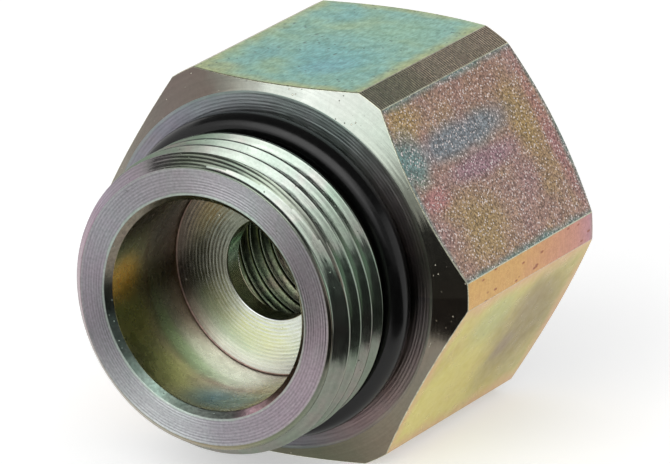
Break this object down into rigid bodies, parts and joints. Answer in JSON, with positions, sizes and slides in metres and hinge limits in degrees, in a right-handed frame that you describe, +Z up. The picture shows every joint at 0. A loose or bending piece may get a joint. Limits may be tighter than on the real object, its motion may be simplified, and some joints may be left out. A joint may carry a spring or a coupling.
{
  "type": "hydraulic plug",
  "caption": "Hexagon hydraulic plug with a threaded stud, a sealing ring behind the thread and a smaller threaded port through its back.",
  "frame": {"origin": "on the axis of the body, in the plane of the seal face, which lies at the inner end of the front bore", "axes": "-Y along the axis, the way the stud points; +Z up, the normal of the top flat of the hexagon; +X to the right of someone who faces the stud's open end"},
  "size_m": [0.03, 0.0291, 0.027],
  "materials": {
    "plated_steel": "turned, with a yellow passivated zinc plating",
    "seal_rubber": "smooth black"
  },
  "bodies": {
    "root": {"plug_body": "plated_steel", "seal_ring": "seal_rubber"}
  },
  "joints": []
}
